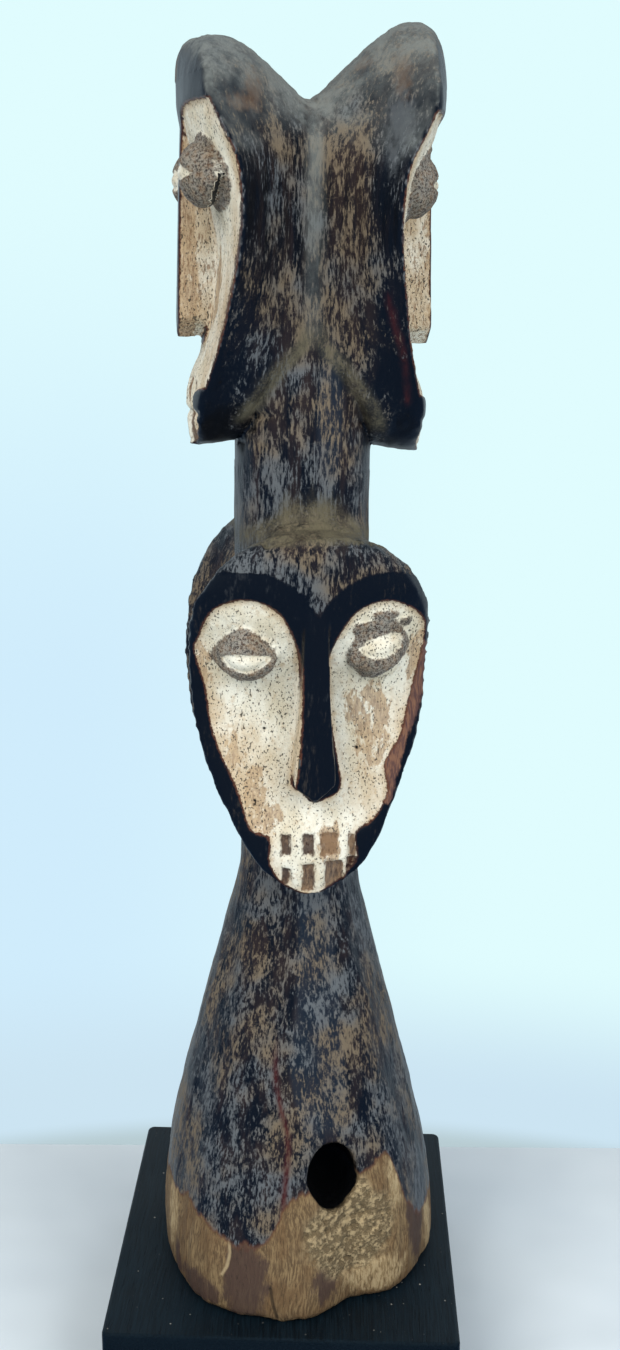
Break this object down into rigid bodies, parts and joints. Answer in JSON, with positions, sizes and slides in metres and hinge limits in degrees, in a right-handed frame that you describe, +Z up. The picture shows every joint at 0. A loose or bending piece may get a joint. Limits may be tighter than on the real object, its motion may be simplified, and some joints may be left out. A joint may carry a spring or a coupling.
{
  "type": "carved figure with janus heads on a plinth",
  "caption": "Carved dark wood figure with long whitened mask faces over a flared skirt, standing on a square black plinth.",
  "frame": {"origin": "middle of the plinth's underside", "axes": "+Z up, the lower front face looks along -Y, turned a little towards +X"},
  "size_m": [0.075, 0.075, 0.2828],
  "materials": {
    "carved_wood": "dark worn patina with a soft gloss, white clay on the faces, bare pale wood round the foot",
    "stained_wood": "blue-black stain with a low satin gloss and a fine open grain"
  },
  "bodies": {
    "root": {"figure": "carved_wood", "plinth": "stained_wood"}
  },
  "joints": []
}
